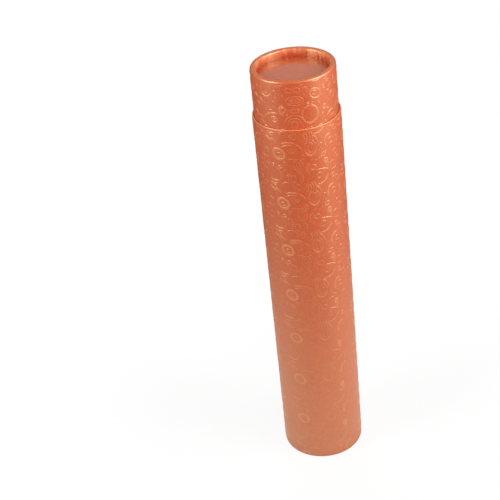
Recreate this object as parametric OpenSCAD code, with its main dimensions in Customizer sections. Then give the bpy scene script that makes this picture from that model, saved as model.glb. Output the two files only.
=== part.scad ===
// Two-piece telescoping document tube, standing on its base and fully closed.
// Each tube is a rolled board tube covered with embossed paper. One end of each
// tube is rolled inwards to a hollow rim, and a die-cut disc is glued in behind it.
// The narrower tube slides in the wider one. Millimetres, +Z up, origin at the
// centre of the base.

/* [Tubes] */
// Outside diameter of the outer tube, over its paper
outer_d = 60; // [40:0.5:100]
// Length of the outer tube, from its base rim to its mouth
outer_len = 284; // [120:1:500]
// Length of the inner tube that shows above the mouth when closed
inner_show = 34; // [15:0.5:150]
// Thickness of the rolled board in both tubes
board_t = 0.9; // [0.6:0.05:2]
// Gap left all round between the tubes, over the inner tube's paper lap
slide_gap = 0.1; // [0.05:0.05:0.5]
// Gap left between the inner tube's open end and the base disc when closed
seat_gap = 0.2; // [0.1:0.1:2]

/* [Covering paper] */
// Thickness of the embossed covering paper
paper_t = 0.15; // [0.1:0.01:0.3]
// Depth of the paper folded into the outer tube's mouth
turn_in = 12; // [4:0.5:40]
// Rounding of the board's edge under the paper at the mouth
mouth_edge_r = 0.25; // [0.1:0.05:0.28]
// Width of the lap where the paper covers its own edge
lap_w = 8; // [3:0.5:20]
// Direction of the lap round the tube, measured from +X
lap_angle = 74; // [0:1:359]

/* [Rolled rims] */
// Width of the hollow inside a rolled rim
roll_hollow = 1.9; // [1.2:0.1:4]
// Width of the flat that each rim's crest is pressed to
crest_w = 0.8; // [0.2:0.1:1]
// Depth from a rim's crest to the face of its disc
recess = 6; // [4:0.5:20]

/* [End discs] */
// Thickness of the paper-faced end discs
disc_t = 1.5; // [0.8:0.1:3]
// Glue gap between a disc's edge and the board tube round it
disc_gap = 0.05; // [0.02:0.01:0.2]

/* [Hidden] */
$fn = 128;

// Both walls are one ply of paper on one ply of board
wall_t = paper_t + board_t;
rim_w = 2 * wall_t + roll_hollow;
rim_r = (rim_w - crest_w) / 2;

// The inner tube clears the paper folded into the mouth, and its own lap clears it too
outer_r = outer_d / 2;
mouth_w = wall_t + paper_t;
inner_r = outer_r - mouth_w - paper_t - slide_gap;

// The inner tube reaches from just above the base disc to the top rim
closed_len = outer_len + inner_show;
inner_foot = recess + disc_t + seat_gap;
inner_len = closed_len - inner_foot;

copper = "#c8693f";
disc_copper = "#c47c62";
grey_board = "#b9a58c";

// Outline of a folded end: width w, height h, with both lower corners rounded by r
module rounded_end(w, h, r) {
    translate([0, r]) square([w, h - r]);
    translate([r, 0]) square([w - 2 * r, 2 * r]);
    for (x = [r, w - r]) translate([x, r]) circle(r);
}

// The same outline moved in by depth on every side but its top
module inset_end(w, h, r, depth) {
    translate([depth, depth]) rounded_end(w - 2 * depth, h, r - depth);
}

// Section of one ply folded round an end, from depth top to depth bottom below the skin.
// The outer leg stands at x = skin_r and runs to z = h, and the inner leg ends at z = leg.
module folded_ply(skin_r, w, r, h, leg, top, bottom) {
    difference() {
        translate([skin_r - w, 0]) inset_end(w, h - top, r, top);
        translate([skin_r - w, 0]) inset_end(w, h, r, bottom);
        translate([skin_r - w, leg]) square([w / 2, h]);
    }
}

// Section of one ply of a wall whose lower end is rolled inwards
module rolled_ply(skin_r, len, top, bottom) {
    folded_ply(skin_r, rim_w, rim_r, len, recess, top, bottom);
}

// Strip of covering paper that laps over its own edge, between two heights
module paper_lap(skin_r, low, high) {
    sweep = lap_w / skin_r * 180 / PI;
    rotate([0, 0, lap_angle - sweep / 2])
        rotate_extrude(angle = sweep)
            translate([skin_r - paper_t / 2, low]) square([paper_t * 1.5, high - low]);
}

// Turns a part that was drawn standing on its rim upside down at the closed height
module rim_up() {
    translate([0, 0, closed_len]) mirror([0, 0, 1]) children();
}

// Disc that closes a rolled end, lying on the end of the roll's inner leg
module rim_disc(skin_r) {
    translate([0, 0, recess]) cylinder(r = skin_r - wall_t - disc_gap, h = disc_t);
}

// Board of the outer tube, with its base end rolled in and its mouth edge rounded
module outer_tube() {
    mouth_h = outer_len - paper_t;
    color(grey_board)
        rotate_extrude() intersection() {
            rolled_ply(outer_r, outer_len, paper_t, wall_t);
            union() {
                translate([outer_r - rim_w, 0]) square([rim_w, mouth_h - 2 * mouth_edge_r]);
                translate([outer_r - wall_t, mouth_h]) mirror([0, 1])
                    rounded_end(board_t, 3 * mouth_edge_r, mouth_edge_r);
            }
        }
}

// Paper of the outer tube, from the base disc round the base rim, up and over the mouth
module outer_wrap() {
    lip_r = mouth_edge_r + paper_t;
    color(copper) {
        rotate_extrude() {
            rolled_ply(outer_r, outer_len - turn_in, 0, paper_t);
            translate([0, outer_len]) mirror([0, 1])
                folded_ply(outer_r, mouth_w, lip_r, turn_in, turn_in, 0, paper_t);
        }
        paper_lap(outer_r, rim_r, outer_len - lip_r);
    }
}

// Disc that closes the outer tube's base
module base_disc() {
    color(disc_copper) rim_disc(outer_r);
}

// Board of the inner tube, with its top end rolled in and its foot cut square
module inner_tube() {
    color(grey_board)
        rim_up() rotate_extrude() rolled_ply(inner_r, inner_len + paper_t, paper_t, wall_t);
}

// Paper of the inner tube, from the end disc round the top rim and down to the cut foot
module inner_wrap() {
    color(copper) rim_up() {
        rotate_extrude() rolled_ply(inner_r, inner_len, 0, paper_t);
        paper_lap(inner_r, rim_r, inner_len);
    }
}

// Disc that closes the inner tube's top
module end_disc() {
    color(disc_copper) rim_up() rim_disc(inner_r);
}

outer_tube();
outer_wrap();
base_disc();
inner_tube();
inner_wrap();
end_disc();
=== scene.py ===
# Telescoping document tube: two board tubes covered in embossed copper paper, one sliding in the other.
# The sections follow the order of assembly. All sizes are in metres unless a comment says millimetres.
import math
import random

import bpy
from mathutils import Matrix, Vector


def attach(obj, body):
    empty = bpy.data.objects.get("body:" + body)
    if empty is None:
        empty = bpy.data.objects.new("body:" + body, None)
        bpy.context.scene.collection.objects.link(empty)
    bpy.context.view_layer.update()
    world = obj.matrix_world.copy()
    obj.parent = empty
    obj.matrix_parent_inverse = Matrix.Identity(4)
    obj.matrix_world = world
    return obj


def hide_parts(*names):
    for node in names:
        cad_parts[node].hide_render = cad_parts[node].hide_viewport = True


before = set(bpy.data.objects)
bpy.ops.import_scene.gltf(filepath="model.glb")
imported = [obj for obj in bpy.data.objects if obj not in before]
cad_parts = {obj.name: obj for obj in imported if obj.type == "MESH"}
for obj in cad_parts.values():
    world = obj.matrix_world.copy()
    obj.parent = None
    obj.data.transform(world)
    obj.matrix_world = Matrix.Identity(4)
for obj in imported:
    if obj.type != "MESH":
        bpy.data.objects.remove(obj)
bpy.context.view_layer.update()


# OUTER TUBE
# A tube wound from plain brown-grey board, 0.9 mm thick. Its base end is rolled inwards to a hollow rim.
# The turns are glued to each other, and the covering paper hides all but the inside.
def add(tree, kind, inputs=None, **settings):
    """New node in a tree; an input is a value, or another node's output socket to link."""
    made = tree.nodes.new(kind)
    for key, value in settings.items():
        setattr(made, key, value)
    for key, value in (inputs or {}).items():
        if isinstance(value, bpy.types.NodeSocket):
            tree.links.new(value, made.inputs[key])
        else:
            made.inputs[key].default_value = value
    return made


def new_look(name, inputs=()):
    """Empty node group for a surface, with named number inputs; gives the group, its start and its end."""
    group = bpy.data.node_groups.new(name, "ShaderNodeTree")
    for socket in inputs:
        group.interface.new_socket(socket, in_out="INPUT", socket_type="NodeSocketFloat")
    group.interface.new_socket("Color", in_out="OUTPUT", socket_type="NodeSocketColor")
    group.interface.new_socket("Roughness", in_out="OUTPUT", socket_type="NodeSocketFloat")
    group.interface.new_socket("Normal", in_out="OUTPUT", socket_type="NodeSocketVector")
    return group, group.nodes.new("NodeGroupInput"), group.nodes.new("NodeGroupOutput")


def put_out(look, end, **finished):
    """Links what a look has worked out to the sockets of its end."""
    for socket, value in finished.items():
        look.links.new(value, end.inputs[socket])


def new_material(name):
    """Material with one Principled shader; gives the material, its tree and that shader."""
    material = bpy.data.materials.new(name)
    material.use_nodes = True
    tree = material.node_tree
    return material, tree, tree.nodes["Principled BSDF"]


def lay_look(tree, shader, look, even, values=None, grain=True):
    """Places a look in a material with its own values, and sets the sockets that are even all over."""
    laid = add(tree, "ShaderNodeGroup", values, node_tree=look)
    tree.links.new(laid.outputs["Color"], shader.inputs["Base Color"])
    tree.links.new(laid.outputs["Roughness"], shader.inputs["Roughness"])
    if grain:
        tree.links.new(laid.outputs["Normal"], shader.inputs["Normal"])
    for socket, value in even.items():
        shader.inputs[socket].default_value = value


def dress(node, material):
    """Gives one of the part's own solids its material."""
    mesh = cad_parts[node].data
    mesh.materials.clear()
    mesh.materials.append(material)


# Board look: cloudy colour, fine fibres lying along the tube, and short dark flecks
board_look, _, board_end = new_look("board_look")
at = add(board_look, "ShaderNodeTexCoord").outputs["Object"]
cloud = add(board_look, "ShaderNodeTexNoise", {"Vector": at, "Scale": 90.0, "Detail": 5.0, "Roughness": 0.6})
along = add(board_look, "ShaderNodeMapping", {"Vector": at, "Scale": (1.0, 1.0, 0.16)})
fibre = add(board_look, "ShaderNodeTexNoise", {"Vector": along.outputs[0], "Scale": 2600.0, "Detail": 3.0})
fleck = add(board_look, "ShaderNodeTexNoise", {"Vector": along.outputs[0], "Scale": 900.0, "Detail": 2.0})
fleck_mask = add(board_look, "ShaderNodeMapRange", {
    "Value": fleck.outputs[0], "From Min": 0.64, "From Max": 0.74, "To Min": 0.0, "To Max": 0.55})
tone = add(board_look, "ShaderNodeValToRGB", {"Fac": cloud.outputs[0]})
tone.color_ramp.elements[0].position = 0.3
tone.color_ramp.elements[0].color = (0.40, 0.31, 0.215, 1)
tone.color_ramp.elements[1].position = 0.72
tone.color_ramp.elements[1].color = (0.55, 0.45, 0.335, 1)
fibre_tone = add(board_look, "ShaderNodeMapRange", {
    "Value": fibre.outputs[0], "From Min": 0.3, "From Max": 0.7, "To Min": 0.86, "To Max": 1.1})
fibred = add(board_look, "ShaderNodeVectorMath", {0: tone.outputs[0], 1: fibre_tone.outputs[0]},
             operation="MULTIPLY")
flecked = add(board_look, "ShaderNodeMix", {
    "Factor": fleck_mask.outputs[0], "A": fibred.outputs[0], "B": (0.2, 0.14, 0.09, 1)}, data_type="RGBA")
board_bump = add(board_look, "ShaderNodeBump", {
    "Height": fibre.outputs[0], "Strength": 0.5, "Distance": 0.00006})
board_rough = add(board_look, "ShaderNodeMapRange", {
    "Value": cloud.outputs[0], "To Min": 0.78, "To Max": 0.95})
put_out(board_look, board_end, Color=flecked.outputs["Result"], Roughness=board_rough.outputs[0],
        Normal=board_bump.outputs[0])

board_paint, tree, shader = new_material("tube_board")
lay_look(tree, shader, board_look, {"Specular IOR Level": 0.25})
dress("outer_tube", board_paint)


# OUTER WRAP
# One sheet of pearl-finished copper paper, 0.15 mm thick, embossed with rings and ripples and glued round the
# outer tube. It follows the base rim round to the disc, laps over its own edge, and folds into the mouth.
PAPER = 0.00015  # thickness of the sheet
WALL = 0.00105  # board and one sheet together
ROLL_HOLLOW = 0.0019  # clear width inside a rolled rim
CREST_FLAT = 0.0008  # level part of the rim, between its two turns
RIM_W = 2 * WALL + ROLL_HOLLOW
RIM_R = (RIM_W - CREST_FLAT) / 2
RECESS = 0.006  # from the rim's crest to the disc
OUTER_R = 0.030
OUTER_LEN = 0.284
LIP_R = 0.00050  # outer rounding of the fold at the mouth
LIP_IN = 0.00040  # inner rounding of that fold
MOUTH_W = WALL + PAPER  # the wall there, with paper on both sides
TURN_IN = 0.012  # how far the paper is folded into the mouth
LAP_W = 0.008  # how far the sheet laps over its own edge
LAP_SLOPE = 0.0012  # shoulder where the upper layer comes down
LAP_MID = math.radians(74)  # the lap is at the back


def ramp(value, start, stop):
    """0 at start, 1 at stop, straight between and level past either end."""
    return max(0.0, min(1.0, (value - start) / (stop - start)))


def arc(cx, cz, radius, start, stop, steps):
    """Points of an arc in the section plane, with the direction from its centre at each one."""
    points = []
    for i in range(steps + 1):
        a = math.radians(start + (stop - start) * i / steps)
        points.append((cx + radius * math.cos(a), cz + radius * math.sin(a), math.cos(a), math.sin(a)))
    return points


def rim_section(radius, depth):
    """Section of a rolled rim standing on z = 0, from the foot of its inner leg to the start of the wall."""
    inner = radius - RIM_W
    turn = RIM_R - depth
    leg = [(inner + depth, RECESS + (RIM_R - RECESS) * i / 6, -1.0, 0.0) for i in range(6)]
    turn_in = arc(inner + RIM_R, RIM_R, turn, 180, 270, 9)
    turn_out = arc(radius - RIM_R, RIM_R, turn, 270, 360, 9)
    return leg + turn_in + turn_out


def rim_skin(radius, crest_lap, leg_lap):
    """Outer side of the paper on a rolled rim, each point with its share of the lap and of the pleats."""
    crest, pleats_start, pleats_full = 0.001, 0.0012, 0.0042
    line = []
    for r, z, nr, nz in rim_section(radius, 0):
        lap_share = crest_lap if z < crest else leg_lap if nr < -0.2 else 1.0
        pleat_share = ramp(z, pleats_start, pleats_full) if nr < -0.5 else 0.0
        line.append((r, z, nr, nz, lap_share, pleat_share))
    return line


def glued_side(points):
    """Back of the paper, which takes neither the lap's nor the pleats' height."""
    return [(r, z, 0, 0, 0, 0) for r, z, nr, nz in points]


def lap_height(angle, radius):
    """How far the paper stands proud at its lap: sheer at the free edge, sloping at the shoulder."""
    half = LAP_W / radius / 2
    past = (angle - LAP_MID + half) * radius
    if past < -1e-9 or past > LAP_W + LAP_SLOPE:
        return 0.0
    return PAPER * min(1.0, (LAP_W + LAP_SLOPE - past) / LAP_SLOPE)


def pleats(seed, count, radius):
    """Function of the angle giving the creases of paper that is rolled in, deepest at the seam."""
    rng = random.Random(seed)
    folds = []
    for _ in range(count):
        centre = rng.uniform(0, 2 * math.pi)
        width = rng.uniform(0.0005, 0.0013) / radius
        side = rng.choice((-0.5, 1, 1))
        folds.append((centre, width, side * rng.uniform(0.00006, 0.00024)))
    seam = LAP_MID - LAP_W / OUTER_R / 2
    folds.append((seam - 0.0006 / radius, 0.0010 / radius, -0.0004))

    def crease(angle):
        total = 0.0
        for centre, width, height in folds:
            away = abs((angle - centre + math.pi) % (2 * math.pi) - math.pi)
            if away < 3 * width:
                total += height * math.exp(-(away / width) ** 2)
        return total
    return crease


def new_piece(name, verts, faces, masks, sharp):
    """Smooth piece with point masks for its paint; edges that bend more than sharp degrees stay crisp."""
    mesh = bpy.data.meshes.new(name)
    mesh.from_pydata(verts, [], faces)
    for mask, values in masks.items():
        mesh.attributes.new(mask, "FLOAT", "POINT").data.foreach_set("value", values)
    mesh.polygons.foreach_set("use_smooth", [True] * len(mesh.polygons))
    mesh.set_sharp_from_angle(angle=math.radians(sharp))
    piece = bpy.data.objects.new(name, mesh)
    bpy.context.scene.collection.objects.link(piece)
    return piece


def painted_shade_mask(height, nr, pleat, pleat_share):
    """Painted shade: how far the paper is darkened in the mouth's gap, down the rolled leg to the disc, and
    in pleats.
    """
    in_gap = ramp(-nr, 0.05, 0.35) if height > OUTER_LEN - 0.001 else 0.0
    down_leg = ramp(height, 0.0022, RECESS) if nr < -0.3 and height < 0.007 else 0.0
    in_pleat = min(1.0, -pleat * pleat_share / 0.0003)
    return max(in_gap, down_leg, in_pleat)


def wear_and_highlight_mask(height, nr, nz, pleat):
    """How far the paper is painted paler, partly as wear and partly as painted highlight: at the roll's turn,
    most on raised pleats, and on the mouth fold.
    """
    at_turn = ramp(height, 0.0044, 0.0022) if nr < -0.3 and height < 0.007 else 0.0
    on_pleat = 0.3 + 0.7 * ramp(pleat, 0.0, 0.0001)
    on_fold = ramp(nz, 0.1, 0.6) if nr > -0.2 else 0.0
    return max(on_pleat * at_turn, on_fold)


def turned_sheet(name, radius, skin, back, flip_at, crease):
    """Paper shell turned about the tube's axis from its skin line and its back line, with lap and pleats."""
    columns = 480
    deepest, highest = -0.0001, 0.0003
    free_edge = LAP_MID - LAP_W / radius / 2
    covered_edge = free_edge + LAP_W / radius
    angles = [2 * math.pi * i / columns for i in range(columns)]
    angles += [free_edge - 0.0002, free_edge, covered_edge, covered_edge + LAP_SLOPE / radius]
    angles.sort()
    section = skin + back
    count = len(section)
    verts, painted_shade, wear_and_highlight = [], [], []
    for a in angles:
        lap, pleat = lap_height(a, radius), crease(a)
        for r, z, nr, nz, lap_share, pleat_share in section:
            push = lap * lap_share + max(deepest, min(highest, pleat)) * pleat_share
            out, up = r + nr * push, z + nz * push
            verts.append((out * math.cos(a), out * math.sin(a), flip_at - up if flip_at else up))
            # Painted shade, and paleness that is partly wear and partly painted highlight, for each point
            painted_shade.append(painted_shade_mask(z, nr, pleat, pleat_share))
            wear_and_highlight.append(wear_and_highlight_mask(z, nr, nz, pleat))
    faces = []
    for i in range(len(angles)):
        j = (i + 1) % len(angles)
        for k in range(count):
            m = (k + 1) % count
            quad = (i * count + k, j * count + k, j * count + m, i * count + m)
            faces.append(quad if not flip_at else quad[::-1])
    return new_piece(name, verts, faces, {"crease": painted_shade, "wear_and_highlight": wear_and_highlight}, 38)


# The ornament, laid out in millimetres on the flat sheet. Each line is an oval or a part of one: its
# middle across and down, half width, half height, tilt, start and stop in degrees anticlockwise from the
# right, and the width of the pressed line
RING_TILE = [
    (24.6, 17.2, 4.3, 3.7, -35, 0, 360, 1.9), (24.9, 17.8, 1.7, 1.4, -35, 0, 360, 1.1),
    (31.7, 16.4, 9.0, 8.2, 6, 58, 116, 1.4), (31.7, 16.4, 9.0, 8.2, 6, 12, 54, 0.9),
    (31.7, 16.8, 7.6, 6.6, 6, 62, 124, 1.0), (33.4, 13.6, 2.6, 2.4, 0, 150, 390, 0.8),
    (33.4, 13.4, 0.9, 0.9, 0, 0, 360, 0.7), (33.2, 25.0, 6.2, 4.6, 0, 62, 115, 0.9),
    (37.4, 25.6, 3.0, 4.8, 6, 0, 360, 0.8), (37.4, 25.6, 1.2, 2.6, 6, 0, 360, 0.7),
    (46.4, 13.4, 3.8, 5.6, 0, 205, 335, 1.5), (46.4, 13.4, 3.9, 5.6, 0, 110, 200, 0.9),
    (46.4, 13.4, 3.9, 5.6, 0, -20, 70, 0.9), (46.4, 13.2, 1.8, 3.6, 0, 0, 360, 0.8),
    (46.4, 14.0, 6.0, 10.0, 0, 18, 72, 1.2), (46.4, 14.0, 6.0, 10.0, 0, -25, 14, 0.9),
    (39.6, 43.4, 3.2, 3.4, 0, -62, 62, 0.9), (39.6, 43.4, 5.0, 5.0, 0, -48, 50, 0.9),
    (39.6, 43.4, 6.8, 6.6, 0, -36, 42, 0.9), (39.6, 43.4, 8.6, 8.2, 0, -24, 36, 0.9),
    (61.6, 12.2, 4.6, 4.8, 0, 80, 215, 1.7), (62.0, 12.6, 2.0, 2.0, 0, 0, 360, 0.9),
    (57.2, 25.8, 1.2, 1.7, 0, 0, 360, 1.9), (58.0, 29.0, 0.6, 1.8, 0, 0, 360, 1.5),
    (51.0, 33.8, 7.6, 8.0, 0, -105, -20, 1.5), (51.0, 33.8, 7.6, 8.0, 0, -16, 12, 0.9),
    (50.5, 47.0, 17.0, 16.3, 0, 60, 92, 1.1), (51.6, 35.2, 2.2, 2.0, 0, 0, 360, 0.8),
    (10.5, 16.3, 12.0, 12.0, 0, 40, 68, 1.6), (14.5, 17.0, 12.0, 12.0, 0, 42, 68, 1.5),
    (13.6, 14.2, 12.0, 12.0, 0, 52, 66, 1.2), (12.6, 12.0, 0.5, 1.2, -25, 0, 360, 0.8),
    (20.6, 33.0, 4.8, 4.8, 0, -45, 70, 1.1), (20.4, 33.2, 5.0, 4.8, 0, 222, 308, 1.7),
    (16.8, 40.4, 0.8, 0.5, 60, 0, 360, 1.0), (20.6, 43.0, 5.0, 2.8, 8, 66, 128, 1.4),
    (19.6, 26.0, 0.8, 0.8, 0, 0, 360, 1.1), (24.8, 27.0, 1.6, 1.0, 10, 0, 360, 1.0),
    (22.2, 28.6, 0.5, 0.5, 0, 0, 360, 0.8), (62.4, 39.0, 1.6, 1.4, 30, 0, 360, 1.1),
    (46.6, 22.2, 0.5, 0.5, 0, 0, 360, 0.7), (49.4, 23.4, 0.5, 0.5, 0, 0, 360, 0.7),
    (51.8, 22.2, 0.5, 0.5, 0, 0, 360, 0.7), (44.6, 32.4, 0.5, 1.2, 0, 0, 360, 0.7),
    (66.0, 22.5, 2.4, 2.2, 0, 0, 360, 0.8), (33.4, 35.6, 3.4, 4.6, 0, 110, 260, 0.9),
    (33.4, 35.6, 1.8, 2.8, 0, 0, 360, 0.8), (37.4, 35.0, 2.6, 3.6, 0, -80, 80, 0.9),
    (43.0, 28.4, 2.0, 4.4, 0, -80, 80, 0.8), (43.0, 28.4, 0.6, 2.4, 0, 0, 360, 0.8),
    (47.6, 28.2, 2.1, 1.8, 0, 0, 360, 0.9), (54.6, 14.4, 1.2, 2.6, 15, 0, 360, 0.8),
    (55.6, 20.4, 2.6, 1.2, 15, 0, 360, 0.9), (63.2, 31.4, 3.2, 3.2, 0, 0, 360, 0.8),
    (14.6, 17.8, 2.6, 3.4, 12, 0, 360, 0.8), (14.2, 28.2, 2.6, 2.4, 0, 40, 320, 0.8),
    (28.6, 23.8, 1.2, 1.0, 0, 0, 360, 0.8), (28.4, 31.2, 1.4, 2.4, 10, 0, 360, 0.9),
    (28.6, 40.4, 3.6, 2.0, 10, 20, 180, 0.9), (36.4, 41.8, 1.2, 2.2, 0, 0, 360, 0.8),
    (33.4, 42.2, 0.5, 1.5, 0, 0, 360, 0.8), (66.4, 4.6, 2.4, 1.8, 20, 0, 360, 0.8),
    (40.6, 19.4, 0.9, 1.8, 10, 0, 360, 0.8),
]
TILE_W, TILE_H = 56.0, 38.0  # repeat round and down the tube
TILE_COLUMNS, TILE_ROWS = range(-3, 4), range(-1, 10)
LINE_STEP = 1.15  # longest straight stretch of a line
SEAM_CLEAR = 0.5  # kept free of lines at the lap's edge
FINE_LINE, FULL_LINE = 0.7, 1.1  # finest line, and the least one of full height
FINE_BURNISH, BURNISH_PER_MM = 0.08, 0.26  # paleness of the finest line, and what more width adds
RIDGE_H = 0.00021  # full height, in metres
RIDGE_ON_LAP = 0.3  # share of the height that is left on the lap
# Section of a ridge, across in widths and up in heights, with its feet sunk into the paper
RIDGE_SECTION = ((-0.5, -0.16), (-0.27, 0.5), (0.0, 1.0), (0.27, 0.5), (0.5, -0.16))


def oval_points(oval, shift_u, shift_v):
    """Points along one line of the ornament, each with the direction square to the line, in millimetres."""
    cu, cv, ru, rv, tilt, start, stop, width = oval
    sweep = math.radians(stop - start)
    steps = max(9, int(sweep * max(ru, rv) / LINE_STEP) + 1)
    lean_cos, lean_sin = math.cos(math.radians(tilt)), math.sin(math.radians(tilt))
    points = []
    for i in range(steps + 1):
        a = math.radians(start) + sweep * i / steps
        x, y = ru * math.cos(a), rv * math.sin(a)
        u = cu + shift_u + x * lean_cos - y * lean_sin
        v = cv + shift_v - x * lean_sin - y * lean_cos
        x, y = -ru * math.sin(a), rv * math.cos(a)
        du = x * lean_cos - y * lean_sin
        dv = -x * lean_sin - y * lean_cos
        size = math.hypot(du, dv)
        points.append((u, v, -dv / size, du / size))
    return points


def runs_inside(points, left, right, upper, lower):
    """Stretches of a line that lie within the sheet, leaving out scraps too short to press."""
    runs, run = [], []
    for point in points:
        if left < point[0] < right and upper < point[1] < lower:
            run.append(point)
        elif run:
            runs.append(run)
            run = []
    runs.append(run)
    return [run for run in runs if len(run) >= 3]


def relief(name, radius, tile, first, low, high, top, drop):
    """Embossed lines on a tube: the tile repeated over the sheet, each line a low rounded ridge.
    first is the angle of the tile's left edge, and the tile's top edge lies drop millimetres below top."""
    right = (LAP_MID - LAP_W / radius / 2 - first) * radius * 1000 - SEAM_CLEAR
    left = right - 2 * math.pi * radius * 1000 + 2 * SEAM_CLEAR
    upper, lower = (top - high) * 1000, (top - low) * 1000
    sides = len(RIDGE_SECTION)
    verts, faces, burnish = [], [], []

    def add_section(u, v, nu, nv, width, rise):
        """One cross-section of a ridge. Finer lines stand lower, and rise is lower towards a line's ends."""
        full = RIDGE_H * min(1.0, (width / FULL_LINE) ** 1.5)
        for across, up in RIDGE_SECTION:
            angle = first + (u + nu * width * across) / 1000 / radius
            turn = (angle - LAP_MID + math.pi) % (2 * math.pi) - math.pi + LAP_MID
            lap = lap_height(turn, radius)
            height = full * (up * rise if up > 0 else up) * (1.0 - (1.0 - RIDGE_ON_LAP) * lap / PAPER)
            r = radius + lap + height
            verts.append((r * math.cos(angle), r * math.sin(angle), top - (v + nv * width * across) / 1000))
            burnish.append(FINE_BURNISH + BURNISH_PER_MM * (width - FINE_LINE))

    def add_ridge(run, width, closed):
        """One solid ridge along a run, joined end to end if it is closed and capped if it is not."""
        base = len(verts)
        line = run[:-1] if closed else run
        for i, (u, v, nu, nv) in enumerate(line):
            from_end = min(i, len(line) - 1 - i)
            add_section(u, v, nu, nv, width, 1.0 if closed else min(1.0, 0.15 + 0.5 * from_end))
        for i in range(len(line) if closed else len(line) - 1):
            here, there = base + i * sides, base + (i + 1) % len(line) * sides
            for k in range(sides):
                m = (k + 1) % sides
                faces.append((here + k, here + m, there + m, there + k))
        if not closed:
            end = base + (len(line) - 1) * sides
            faces.append(tuple(base + k for k in reversed(range(sides))))
            faces.append(tuple(end + k for k in range(sides)))

    for column in TILE_COLUMNS:
        for row in TILE_ROWS:
            for oval in tile:
                start, stop, width = oval[5:]
                points = oval_points(oval, column * TILE_W, drop + row * TILE_H)
                for run in runs_inside(points, left, right, upper, lower):
                    add_ridge(run, width, len(run) == len(points) and stop - start == 360)
    return new_piece(name, verts, faces, {"burnish": burnish}, 75)


# Pearl paper look: copper ground with soft cloudy blotches, fine paper grain and mica glints. It is paler on
# faces turned up or down, at the roll's turn, on raised pleats and on the mouth fold, partly wear and partly
# painted highlight;
# darker in creases, the mouth's gap and down the rolled leg as painted shade; and paler again where the die
# has burnished it
pearl_look, pearl_start, pearl_end = new_look("pearl_look", ("Burnish", "Roughness Share"))
place = add(pearl_look, "ShaderNodeTexCoord")
at = place.outputs["Object"]
blotch = add(pearl_look, "ShaderNodeTexNoise", {
    "Vector": at, "Scale": 420.0, "Detail": 4.0, "Roughness": 0.55})
grain = add(pearl_look, "ShaderNodeTexNoise", {
    "Vector": at, "Scale": 3200.0, "Detail": 3.0, "Roughness": 0.6})
mica = add(pearl_look, "ShaderNodeTexVoronoi", {"Vector": at, "Scale": 5200.0})
ground = add(pearl_look, "ShaderNodeValToRGB", {"Fac": blotch.outputs[0]})
ground.color_ramp.elements[0].position = 0.3
ground.color_ramp.elements[0].color = (0.565, 0.062, 0.0118, 1)
ground.color_ramp.elements[1].position = 0.72
ground.color_ramp.elements[1].color = (0.640, 0.081, 0.0180, 1)
grain_tone = add(pearl_look, "ShaderNodeMapRange", {
    "Value": grain.outputs[0], "From Min": 0.3, "From Max": 0.7, "To Min": 0.93, "To Max": 1.06})
grained = add(pearl_look, "ShaderNodeVectorMath", {0: ground.outputs[0], 1: grain_tone.outputs[0]},
              operation="MULTIPLY")
glint = add(pearl_look, "ShaderNodeSeparateColor", {"Color": mica.outputs["Color"]})
glint_mask = add(pearl_look, "ShaderNodeMapRange", {
    "Value": glint.outputs[0], "From Min": 0.75, "From Max": 1.0, "To Min": 0.0, "To Max": 0.25})
glinted = add(pearl_look, "ShaderNodeMix", {
    "Factor": glint_mask.outputs[0], "A": grained.outputs[0], "B": (0.85, 0.36, 0.15, 1)}, data_type="RGBA")
# Paler on faces turned up or down, such as rim crests and the mouth's lip: partly rubbing wear, partly
# painted highlight
facing = add(pearl_look, "ShaderNodeSeparateXYZ", {0: place.outputs["Normal"]})
level = add(pearl_look, "ShaderNodeMath", {0: facing.outputs["Z"]}, operation="ABSOLUTE")
turned = add(pearl_look, "ShaderNodeMapRange", {"Value": level.outputs[0], "From Min": 0.3, "From Max": 0.85},
             interpolation_type="SMOOTHSTEP")
patchy = add(pearl_look, "ShaderNodeMapRange", {
    "Value": blotch.outputs[0], "From Min": 0.3, "From Max": 0.7, "To Min": 0.5, "To Max": 1.0})
rub_and_highlight = add(pearl_look, "ShaderNodeMath", {0: turned.outputs[0], 1: patchy.outputs[0]}, operation="MULTIPLY")
rub_and_highlight_share = add(pearl_look, "ShaderNodeMath", {0: rub_and_highlight.outputs[0], 1: 0.20}, operation="MULTIPLY")
rub_and_highlight_tone = add(pearl_look, "ShaderNodeMix", {
    "Factor": rub_and_highlight_share.outputs[0], "A": glinted.outputs["Result"], "B": (0.82, 0.32, 0.14, 1)},
    data_type="RGBA")
# Paler at the roll's turn, on raised pleats and on the mouth fold: partly wear, partly painted highlight
wear_and_highlight = add(pearl_look, "ShaderNodeAttribute", attribute_name="wear_and_highlight")
wear_and_highlight_share = add(pearl_look, "ShaderNodeMath", {0: wear_and_highlight.outputs["Fac"], 1: 0.42}, operation="MULTIPLY")
wear_and_highlight_tone = add(pearl_look, "ShaderNodeMix", {
    "Factor": wear_and_highlight_share.outputs[0], "A": rub_and_highlight_tone.outputs["Result"], "B": (0.90, 0.42, 0.20, 1)},
    data_type="RGBA")
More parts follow.
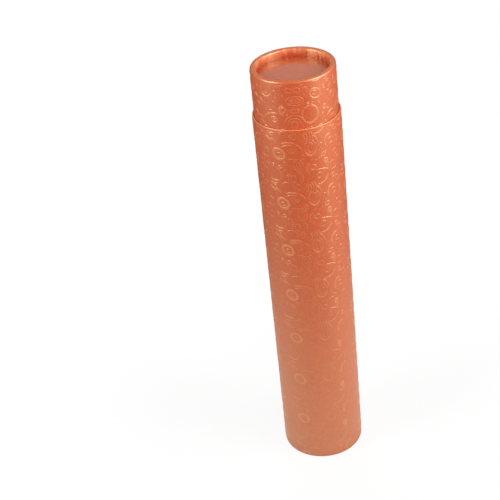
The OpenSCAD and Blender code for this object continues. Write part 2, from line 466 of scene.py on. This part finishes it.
# Painted shade: darker in pleats, in the mouth's gap and down the rolled leg to the disc
crease = add(pearl_look, "ShaderNodeAttribute", attribute_name="crease")
painted_shade_share = add(pearl_look, "ShaderNodeMath", {0: crease.outputs["Fac"], 1: 0.85}, operation="MULTIPLY")
painted_shade_tone = add(pearl_look, "ShaderNodeMix", {
    "Factor": painted_shade_share.outputs[0], "A": wear_and_highlight_tone.outputs["Result"], "B": (0.40, 0.024, 0.006, 1)},
    data_type="RGBA")
pressed_tone = add(pearl_look, "ShaderNodeMix", {
    "Factor": pearl_start.outputs["Burnish"], "A": painted_shade_tone.outputs["Result"],
    "B": (0.88, 0.36, 0.15, 1)}, data_type="RGBA")
pearl_rough = add(pearl_look, "ShaderNodeMapRange", {
    "Value": glint.outputs[1], "To Min": 0.38, "To Max": 0.5})
smooth = add(pearl_look, "ShaderNodeMapRange", {"Value": rub_and_highlight.outputs[0], "To Min": 1.0, "To Max": 0.8})
rough = add(pearl_look, "ShaderNodeMath", {0: pearl_rough.outputs[0], 1: smooth.outputs[0]},
            operation="MULTIPLY")
rough = add(pearl_look, "ShaderNodeMath", {0: rough.outputs[0], 1: pearl_start.outputs["Roughness Share"]},
            operation="MULTIPLY")
pearl_bump = add(pearl_look, "ShaderNodeBump", {
    "Height": grain.outputs[0], "Strength": 0.35, "Distance": 0.00003})
put_out(pearl_look, pearl_end, Color=pressed_tone.outputs["Result"], Roughness=rough.outputs[0],
        Normal=pearl_bump.outputs[0])

copper_paint, tree, shader = new_material("copper_paper")
lay_look(tree, shader, pearl_look, {"Metallic": 0.05, "IOR": 2.6, "Specular Tint": (1.0, 0.98, 0.62, 1)},
         {"Burnish": 0.0, "Roughness Share": 1.0})

# The die presses the bolder lines harder, which leaves them paler. It also closes the grain of every line
ridge_paint, tree, shader = new_material("copper_paper_ridge")
pressed = add(tree, "ShaderNodeAttribute", attribute_name="burnish")
lay_look(tree, shader, pearl_look, {"Metallic": 0.1, "IOR": 2.6, "Specular Tint": (1.0, 0.98, 0.62, 1)},
         {"Burnish": pressed.outputs["Fac"], "Roughness Share": 1.05}, grain=False)

mouth_in = OUTER_R - MOUTH_W
wall_top = OUTER_LEN - LIP_R
fold_out = arc(OUTER_R - LIP_R, wall_top, LIP_R, 0, 90, 5)
fold_in = arc(mouth_in + LIP_IN, OUTER_LEN - LIP_IN, LIP_IN, 90, 180, 4)
skin = rim_skin(OUTER_R, 0.0, 0.6)
skin += [(OUTER_R, RIM_R + (wall_top - RIM_R) * i / 8, 1.0, 0.0, 1.0, 0.0) for i in range(1, 8)]
skin += [(r, z, nr, nz, 0.3 if nz > 0.3 else 1.0, 0.0) for r, z, nr, nz in fold_out]
skin += [(r, z, nr, nz, 0.0, 0.0) for r, z, nr, nz in fold_in]
skin += [(mouth_in, OUTER_LEN - TURN_IN * i / 3, -1.0, 0.0, 0.0, 0.0) for i in range(1, 4)]
back = glued_side([(mouth_in + PAPER, OUTER_LEN - TURN_IN, 0, 0)])
back += glued_side(arc(mouth_in + LIP_IN, OUTER_LEN - LIP_IN, LIP_IN - PAPER, 180, 90, 3))
back += glued_side(arc(OUTER_R - LIP_R, wall_top, LIP_R - PAPER, 90, 0, 3))
back += glued_side(reversed(rim_section(OUTER_R, PAPER)))
outer_paper = turned_sheet("outer_wrap_paper", OUTER_R, skin, back, 0, pleats(5, 70, OUTER_R - RIM_W))
outer_paper.data.materials.append(copper_paint)
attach(outer_paper, "outer")
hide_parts("outer_wrap")

TILE_LEFT = math.radians(-165)
outer_relief = relief("outer_wrap_relief", OUTER_R, RING_TILE, TILE_LEFT, RIM_R, wall_top, OUTER_LEN, 0.8)
outer_relief.data.materials.append(ridge_paint)
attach(outer_relief, "outer")


# BASE DISC
# A die-cut disc of board faced with smooth copper paper, glued in behind the base rim.
# Its outer face lies 6 mm up inside the rim. The facing is painted a deeper red towards its edge, as shade
# where it meets the rim.
disc_look, _, disc_end = new_look("disc_look")
at = add(disc_look, "ShaderNodeTexCoord").outputs["Object"]
cloud = add(disc_look, "ShaderNodeTexNoise", {"Vector": at, "Scale": 60.0, "Detail": 4.0, "Roughness": 0.6})
grain = add(disc_look, "ShaderNodeTexNoise", {"Vector": at, "Scale": 3000.0, "Detail": 3.0})
ground = add(disc_look, "ShaderNodeValToRGB", {"Fac": cloud.outputs[0]})
ground.color_ramp.elements[0].position = 0.28
ground.color_ramp.elements[0].color = (0.61, 0.104, 0.040, 1)
ground.color_ramp.elements[1].position = 0.75
ground.color_ramp.elements[1].color = (0.65, 0.122, 0.050, 1)
grain_tone = add(disc_look, "ShaderNodeMapRange", {
    "Value": grain.outputs[0], "From Min": 0.3, "From Max": 0.7, "To Min": 0.94, "To Max": 1.05})
grained = add(disc_look, "ShaderNodeVectorMath", {0: ground.outputs[0], 1: grain_tone.outputs[0]},
              operation="MULTIPLY")
flat = add(disc_look, "ShaderNodeVectorMath", {0: at, 1: (1.0, 1.0, 0.0)}, operation="MULTIPLY")
from_axis = add(disc_look, "ShaderNodeVectorMath", {0: flat.outputs[0]}, operation="LENGTH")
# Painted shade: a deeper red towards the disc's edge, where it meets the rolled leg
edge_shade_mask = add(disc_look, "ShaderNodeMapRange", {
    "Value": from_axis.outputs["Value"], "From Min": 0.0165, "From Max": 0.0250, "To Max": 0.6},
    interpolation_type="SMOOTHSTEP")
edge_shaded = add(disc_look, "ShaderNodeMix", {
    "Factor": edge_shade_mask.outputs[0], "A": grained.outputs[0], "B": (0.46, 0.036, 0.010, 1)}, data_type="RGBA")
disc_bump = add(disc_look, "ShaderNodeBump", {
    "Height": grain.outputs[0], "Strength": 0.3, "Distance": 0.00003})
disc_rough = add(disc_look, "ShaderNodeMapRange", {"Value": cloud.outputs[0], "To Min": 0.14, "To Max": 0.22})
put_out(disc_look, disc_end, Color=edge_shaded.outputs["Result"], Roughness=disc_rough.outputs[0],
        Normal=disc_bump.outputs[0])

disc_paint, tree, shader = new_material("disc_paper")
lay_look(tree, shader, disc_look, {"Metallic": 0.05, "IOR": 2.6, "Specular Tint": (1.0, 0.94, 0.7, 1)})
dress("base_disc", disc_paint)


# INNER TUBE
# A second board tube of the same make, narrower, so that it slides in the outer one.
# Its top end is rolled in to a rim like the base, and its foot is cut square.
dress("inner_tube", board_paint)


# INNER WRAP
# The same embossed paper, glued round the inner tube. It goes round the top rim and down to the end disc,
# where it is pressed into small pleats, and is cut flush with the board at the open foot.
CLOSED = 0.318  # whole length of the closed tube
SLIDE_GAP = 0.0001  # left free beside the lap, so that it slides
DISC_T = 0.0015
FOOT_GAP = 0.0002  # between the base disc and the foot
INNER_R = OUTER_R - MOUTH_W - PAPER - SLIDE_GAP
INNER_FOOT = RECESS + DISC_T + FOOT_GAP
length = CLOSED - INNER_FOOT
skin = rim_skin(INNER_R, 0.4, 1.8)
skin += [(INNER_R, RIM_R + (length - RIM_R) * i / 9, 1.0, 0.0, 1.0, 0.0) for i in range(1, 10)]
back = glued_side([(INNER_R - PAPER, length, 0, 0)])
back += glued_side(reversed(rim_section(INNER_R, PAPER)))
inner_paper = turned_sheet("inner_wrap_paper", INNER_R, skin, back, CLOSED, pleats(11, 90, INNER_R - RIM_W))
inner_paper.data.materials.append(copper_paint)
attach(inner_paper, "inner")
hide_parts("inner_wrap")

# Its run of the ornament starts elsewhere on the sheet, so other rings come to lie below the rim
CAP_TILE = [
    (16.6, 5.2, 4.3, 4.6, 0, 205, 335, 1.6), (16.6, 5.2, 4.3, 4.6, 0, -20, 45, 1.3),
    (16.6, 5.2, 4.3, 4.6, 0, 140, 200, 1.3), (17.0, 5.0, 2.2, 2.2, 0, 170, 370, 0.7),
    (26.2, 2.6, 2.0, 0.7, -42, 0, 360, 0.9), (50.6, 8.8, 3.9, 3.3, -35, 0, 360, 1.6),
    (50.0, 8.2, 1.6, 1.4, -35, 0, 360, 1.2), (36.6, 11.8, 5.7, 3.2, 0, 0, 360, 0.8),
    (36.6, 11.8, 3.7, 1.6, 0, 0, 360, 0.7), (34.8, 11.8, 0.5, 0.5, 0, 0, 360, 0.7),
    (37.0, 11.8, 0.5, 0.5, 0, 0, 360, 0.7), (39.2, 11.8, 0.5, 0.5, 0, 0, 360, 0.7),
    (46.2, 22.6, 5.5, 6.2, 0, -120, 80, 1.8), (46.2, 22.6, 5.5, 6.2, 0, 84, 236, 1.1),
    (45.2, 14.6, 0.9, 0.5, -40, 0, 360, 0.9), (48.0, 15.0, 0.9, 0.5, 40, 0, 360, 0.8),
    (53.0, 17.4, 0.5, 1.6, 5, 0, 360, 1.0), (57.4, 5.6, 1.0, 0.7, 35, 0, 360, 0.8),
    (62.4, 5.2, 2.6, 2.4, 0, 0, 360, 0.8), (29.0, 18.4, 2.7, 3.5, 0, 95, 265, 1.7),
    (28.6, 18.2, 1.0, 2.2, -8, 0, 360, 1.1), (23.0, 29.5, 10.5, 8.6, 0, 80, 155, 1.4),
    (21.6, 25.6, 2.2, 1.9, 0, 0, 360, 1.4), (21.8, 25.8, 0.5, 0.5, 0, 0, 360, 1.0),
    (35.5, 28.4, 6.2, 6.4, 0, 10, 170, 0.8), (35.5, 28.4, 4.2, 4.3, 0, 0, 180, 0.8),
    (35.5, 28.4, 2.1, 2.2, 0, 0, 360, 0.8), (65.0, 32.0, 6.8, 6.8, 0, 62, 142, 1.3),
    (22.0, 14.4, 0.8, 2.0, 5, 0, 360, 0.9), (61.2, 23.6, 1.6, 0.6, -50, 0, 360, 1.1),
    (15.4, 33.4, 3.4, 0.9, -42, 0, 360, 1.0), (29.2, 8.0, 0.6, 0.6, 0, 0, 360, 0.7),
    (27.6, 35.6, 3.6, 3.2, 0, 0, 360, 1.2), (27.6, 35.6, 1.5, 1.3, 0, 0, 360, 0.9),
    (41.8, 36.4, 1.6, 2.6, -10, 0, 360, 0.9), (52.4, 35.4, 4.8, 3.0, 12, 0, 360, 1.2),
    (52.4, 35.4, 2.6, 1.2, 12, 0, 360, 0.9), (57.6, 31.0, 0.6, 0.6, 0, 0, 360, 0.8),
    (59.4, 38.2, 1.9, 1.8, 0, 0, 360, 1.0), (55.6, 24.6, 0.6, 0.6, 0, 0, 360, 0.8),
    (33.0, 4.2, 2.2, 1.5, 0, 0, 360, 0.8), (38.4, 4.2, 2.2, 1.7, 0, 0, 360, 0.8),
    (43.6, 5.4, 1.4, 2.8, 0, 0, 360, 0.8), (58.4, 8.2, 1.5, 0.6, -50, 0, 360, 1.2),
    (62.4, 11.2, 1.8, 0.7, -40, 0, 360, 1.1), (65.6, 14.8, 2.4, 2.8, 0, 0, 360, 0.9),
    (57.2, 20.4, 2.0, 1.1, 35, 0, 360, 0.9), (10.8, 14.8, 2.2, 2.8, 12, 0, 360, 0.9),
    (15.8, 16.8, 1.0, 2.4, 12, 0, 360, 0.8), (23.4, 7.4, 1.3, 2.8, 0, 0, 360, 0.9),
    (31.0, 19.8, 0.8, 2.4, 0, 0, 360, 0.8), (36.0, 18.8, 3.4, 1.2, 0, 0, 360, 0.8),
    (18.6, 20.2, 2.2, 0.9, 30, 0, 360, 0.8), (10.2, 30.6, 2.6, 2.2, 0, 0, 360, 0.9),
    (45.4, 33.2, 1.9, 1.7, 0, 0, 360, 0.9),
]
above_foot = INNER_FOOT + 0.0004
below_rim = CLOSED - RIM_R
inner_relief = relief("inner_wrap_relief", INNER_R, CAP_TILE, TILE_LEFT, above_foot, below_rim, CLOSED, 2.0)
inner_relief.data.materials.append(ridge_paint)
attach(inner_relief, "inner")


# END DISC
# The same kind of disc as the base has, die-cut from board and faced with the smooth copper paper.
# It is glued in behind the top rim, with its face 6 mm below the crest.
dress("end_disc", disc_paint)


# STUDIO
# White floor and surround, a soft lamp at each side that the paper mirrors, two weaker ones, in front and
# behind, that only fill, and the photograph's camera. What the paper mirrors of the white is held back in
# front, low down behind and overhead, as by the dark parts of a room, so that the copper keeps its depth.
floor_mesh = bpy.data.meshes.new("floor")
floor_mesh.from_pydata([(-4, -4, 0), (4, -4, 0), (4, 4, 0), (-4, 4, 0)], [], [(0, 1, 2, 3)])
floor = bpy.data.objects.new("floor", floor_mesh)
bpy.context.scene.collection.objects.link(floor)
floor_paint, tree, shader = new_material("floor_white")
shader.inputs["Roughness"].default_value = 0.9
path = add(tree, "ShaderNodeLightPath")
direct = add(tree, "ShaderNodeMath", {
    0: path.outputs["Is Camera Ray"], 1: path.outputs["Is Transmission Ray"]}, operation="MAXIMUM")
spot = add(tree, "ShaderNodeTexCoord").outputs["Object"]
reach = add(tree, "ShaderNodeVectorMath", {0: spot}, operation="LENGTH")
heading = add(tree, "ShaderNodeVectorMath", {0: spot}, operation="NORMALIZE")
side_on = add(tree, "ShaderNodeSeparateXYZ", {0: heading.outputs[0]})
front = add(tree, "ShaderNodeMapRange", {
    "Value": side_on.outputs["Y"], "From Min": -0.4, "From Max": -0.9}, interpolation_type="SMOOTHSTEP")
far = add(tree, "ShaderNodeMapRange", {
    "Value": reach.outputs["Value"], "From Min": 0.08, "From Max": 0.42}, interpolation_type="SMOOTHSTEP")
unlit = add(tree, "ShaderNodeMath", {0: front.outputs[0], 1: far.outputs[0]}, operation="MULTIPLY")
shade = add(tree, "ShaderNodeMix", {
    "Factor": unlit.outputs[0], "A": (0.14, 0.14, 0.14, 1), "B": (0.08, 0.08, 0.08, 1)}, data_type="RGBA")
tree.links.new(shade.outputs["Result"], shader.inputs["Base Color"])
flank = add(tree, "ShaderNodeMapRange", {
    "Value": side_on.outputs["X"], "From Min": -0.7, "From Max": 0.3, "To Min": 0.20, "To Max": 0.42})
beyond = add(tree, "ShaderNodeMapRange", {
    "Value": side_on.outputs["Y"], "From Min": 0.2, "From Max": 0.7, "To Min": 1.0, "To Max": 0.4},
    interpolation_type="SMOOTHSTEP")
clear = add(tree, "ShaderNodeMapRange", {"Value": front.outputs[0], "To Min": 1.0, "To Max": 0.0})
away = add(tree, "ShaderNodeMath", {0: clear.outputs[0], 1: flank.outputs[0]}, operation="MULTIPLY")
away = add(tree, "ShaderNodeMath", {0: away.outputs[0], 1: beyond.outputs[0]}, operation="MULTIPLY")
sheen = add(tree, "ShaderNodeMapRange", {
    "Value": far.outputs[0], "To Min": 1.0, "To Max": away.outputs[0]})
# Painted contact shade: the floor's mirrored white is dimmer close round the tube's foot
contact = add(tree, "ShaderNodeMapRange", {
    "Value": reach.outputs["Value"], "From Min": 0.0298, "From Max": 0.0365, "To Min": 0.72, "To Max": 1.0},
    interpolation_type="SMOOTHSTEP")
mirrored = add(tree, "ShaderNodeMath", {0: sheen.outputs[0], 1: contact.outputs[0]}, operation="MULTIPLY")
mirrored = add(tree, "ShaderNodeMath", {0: mirrored.outputs[0], 1: path.outputs["Is Glossy Ray"]},
               operation="MULTIPLY")
white = add(tree, "ShaderNodeMapRange", {"Value": far.outputs[0], "To Min": 0.86, "To Max": 0.96})
shown = add(tree, "ShaderNodeMath", {0: white.outputs[0], 1: direct.outputs[0]}, operation="MULTIPLY")
glow = add(tree, "ShaderNodeMath", {0: shown.outputs[0], 1: mirrored.outputs[0]}, operation="MAXIMUM")
lit = add(tree, "ShaderNodeEmission", {"Color": (1, 1, 1, 1), "Strength": glow.outputs[0]})
both = add(tree, "ShaderNodeAddShader", {0: shader.outputs[0], 1: lit.outputs[0]})
tree.links.new(both.outputs[0], tree.nodes["Material Output"].inputs["Surface"])
floor_mesh.materials.append(floor_paint)

world = bpy.data.worlds.new("surround")
bpy.context.scene.world = world
world.use_nodes = True
tree = world.node_tree
path = add(tree, "ShaderNodeLightPath")
direct = add(tree, "ShaderNodeMath", {
    0: path.outputs["Is Camera Ray"], 1: path.outputs["Is Transmission Ray"]}, operation="MAXIMUM")
side_on = add(tree, "ShaderNodeSeparateXYZ", {0: add(tree, "ShaderNodeTexCoord").outputs["Generated"]})
front = add(tree, "ShaderNodeMapRange", {
    "Value": side_on.outputs["Y"], "From Min": -0.35, "From Max": -0.85, "To Min": 1.0, "To Max": 0.1},
    interpolation_type="SMOOTHSTEP")
flank = add(tree, "ShaderNodeMapRange", {
    "Value": side_on.outputs["X"], "From Min": -0.7, "From Max": 0.3, "To Min": 0.35, "To Max": 0.6})
horizon = add(tree, "ShaderNodeMapRange", {
    "Value": side_on.outputs["Z"], "From Min": 0.25, "From Max": 0.52, "To Min": 0.1, "To Max": 0.73},
    interpolation_type="SMOOTHSTEP")
back_wall = add(tree, "ShaderNodeMapRange", {
    "Value": side_on.outputs["Y"], "From Min": 0.2, "From Max": 0.7, "To Min": flank.outputs[0],
    "To Max": horizon.outputs[0]}, interpolation_type="SMOOTHSTEP")
ceiling = add(tree, "ShaderNodeMapRange", {
    "Value": side_on.outputs["Z"], "From Min": 0.55, "From Max": 0.85, "To Min": 1.0, "To Max": 0.2},
    interpolation_type="SMOOTHSTEP")
sheen = add(tree, "ShaderNodeMath", {0: front.outputs[0], 1: back_wall.outputs[0]}, operation="MULTIPLY")
sheen = add(tree, "ShaderNodeMath", {0: sheen.outputs[0], 1: ceiling.outputs[0]}, operation="MULTIPLY")
mirrored = add(tree, "ShaderNodeMath", {0: sheen.outputs[0], 1: path.outputs["Is Glossy Ray"]},
               operation="MULTIPLY")
seen = add(tree, "ShaderNodeMath", {0: direct.outputs[0], 1: mirrored.outputs[0]}, operation="MAXIMUM")
other = add(tree, "ShaderNodeMapRange", {
    "Value": path.outputs["Is Diffuse Ray"], "To Min": 0.0, "To Max": 0.25})
strength = add(tree, "ShaderNodeMath", {0: seen.outputs[0], 1: other.outputs[0]}, operation="MAXIMUM")
tree.links.new(strength.outputs[0], tree.nodes["Background"].inputs["Strength"])
tree.nodes["Background"].inputs["Color"].default_value = (1, 1, 1, 1)

for name, stand, size, power, in_gloss in (
        ("lamp_right", (0.63, -0.29, 0.53), (0.60, 0.56), 1.60, True),
        ("lamp_left", (-0.63, -0.29, 0.53), (0.34, 0.56), 0.93, True),
        ("lamp_front", (0.10, -0.80, 0.66), (0.5, 0.4), 0.76, False),
        ("lamp_back", (-0.1, 0.85, 0.60), (0.5, 0.4), 0.5, False)):
    lamp = bpy.data.lights.new(name, "AREA")
    lamp.shape = "RECTANGLE"
    lamp.size, lamp.size_y = size
    lamp.spread = math.radians(80)
    lamp.energy = power
    holder = bpy.data.objects.new(name, lamp)
    holder.location = stand
    holder.rotation_euler = (Vector((0, 0, 0.32)) - Vector(stand)).to_track_quat("-Z", "Y").to_euler()
    holder.visible_camera = False
    holder.visible_glossy = in_gloss
    bpy.context.scene.collection.objects.link(holder)

pitch, yaw, roll = 0.564671788, -0.0559609769, -0.114518602
ahead = Vector((math.sin(yaw) * math.cos(pitch), math.cos(yaw) * math.cos(pitch), -math.sin(pitch)))
side = Vector((math.cos(yaw), -math.sin(yaw), 0))
over = side.cross(ahead)
across = math.cos(roll) * side + math.sin(roll) * over
upward = -math.sin(roll) * side + math.cos(roll) * over
lens = bpy.data.cameras.new("camera")
lens.sensor_width = 36
lens.lens = 88.34
lens.clip_end = 20
camera = bpy.data.objects.new("camera", lens)
camera.matrix_world = Matrix((
    (across.x, upward.x, -ahead.x, 0.0),
    (across.y, upward.y, -ahead.y, -0.74545),
    (across.z, upward.z, -ahead.z, 0.649059),
    (0, 0, 0, 1)))
bpy.context.scene.collection.objects.link(camera)
bpy.context.scene.camera = camera
bpy.context.scene.view_settings.view_transform = "Standard"
